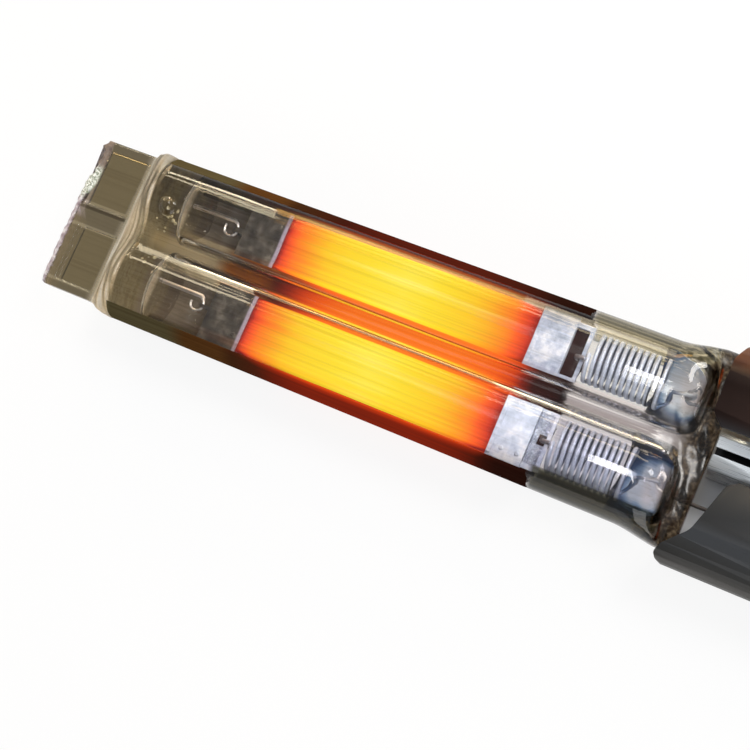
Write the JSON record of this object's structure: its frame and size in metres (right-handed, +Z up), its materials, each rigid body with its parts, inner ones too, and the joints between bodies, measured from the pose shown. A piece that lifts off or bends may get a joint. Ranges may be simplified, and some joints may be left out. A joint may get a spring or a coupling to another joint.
{
  "type": "twin-bore quartz heating tube",
  "caption": "Twin-bore quartz infrared tube: a glowing carbon ribbon in each bore, sprung at one end, with a pinched gripping tab and a folded steel end cap.",
  "frame": {"origin": "bottom centre of the whole part's box, on the plane of the end cap's flat underside", "axes": "+X along the tube from the gripping tab to the terminal blades, +Y across the two bores, +Z up through the tube's thickness"},
  "size_m": [0.163, 0.0396, 0.0187],
  "materials": {
    "fused_quartz": "clear fused quartz, fire polished, with a smoky gold reflector coat on its rear half",
    "molybdenum": "dark grey molybdenum sheet and wire, dull",
    "carbon_ribbon": "carbon-fibre ribbon, glowing red-orange at its ends and yellow in its middle",
    "nickel_sheet": "bright crumpled nickel sheet",
    "spring_wire": "bright drawn wire",
    "cap_steel": "dark stainless sheet, smooth, with faint rolling marks",
    "bright_steel": "bright stainless sheet",
    "steatite": "off-white unglazed steatite",
    "nickel_plate": "nickel-plated brass"
  },
  "bodies": {
    "root": {"quartz_tube": "fused_quartz", "end_cap": "cap_steel", "centre_rail": "bright_steel", "ceramic_block": "steatite", "anchor_hook_far": "molybdenum", "anchor_clamp_far": "molybdenum", "carbon_ribbon_far": "carbon_ribbon", "sprung_clamp_far": "nickel_sheet", "spring_yoke_far": "nickel_sheet", "tension_spring_far": "spring_wire", "lead_wire_far": "molybdenum", "crimp_sleeve_far": "nickel_plate", "terminal_blade_far": "nickel_plate", "cap_rivet_far": "bright_steel", "anchor_hook_near": "molybdenum", "anchor_clamp_near": "molybdenum", "carbon_ribbon_near": "carbon_ribbon", "sprung_clamp_near": "nickel_sheet", "spring_yoke_near": "nickel_sheet", "tension_spring_near": "spring_wire", "lead_wire_near": "molybdenum", "crimp_sleeve_near": "nickel_plate", "terminal_blade_near": "nickel_plate", "cap_rivet_near": "bright_steel"}
  },
  "joints": []
}
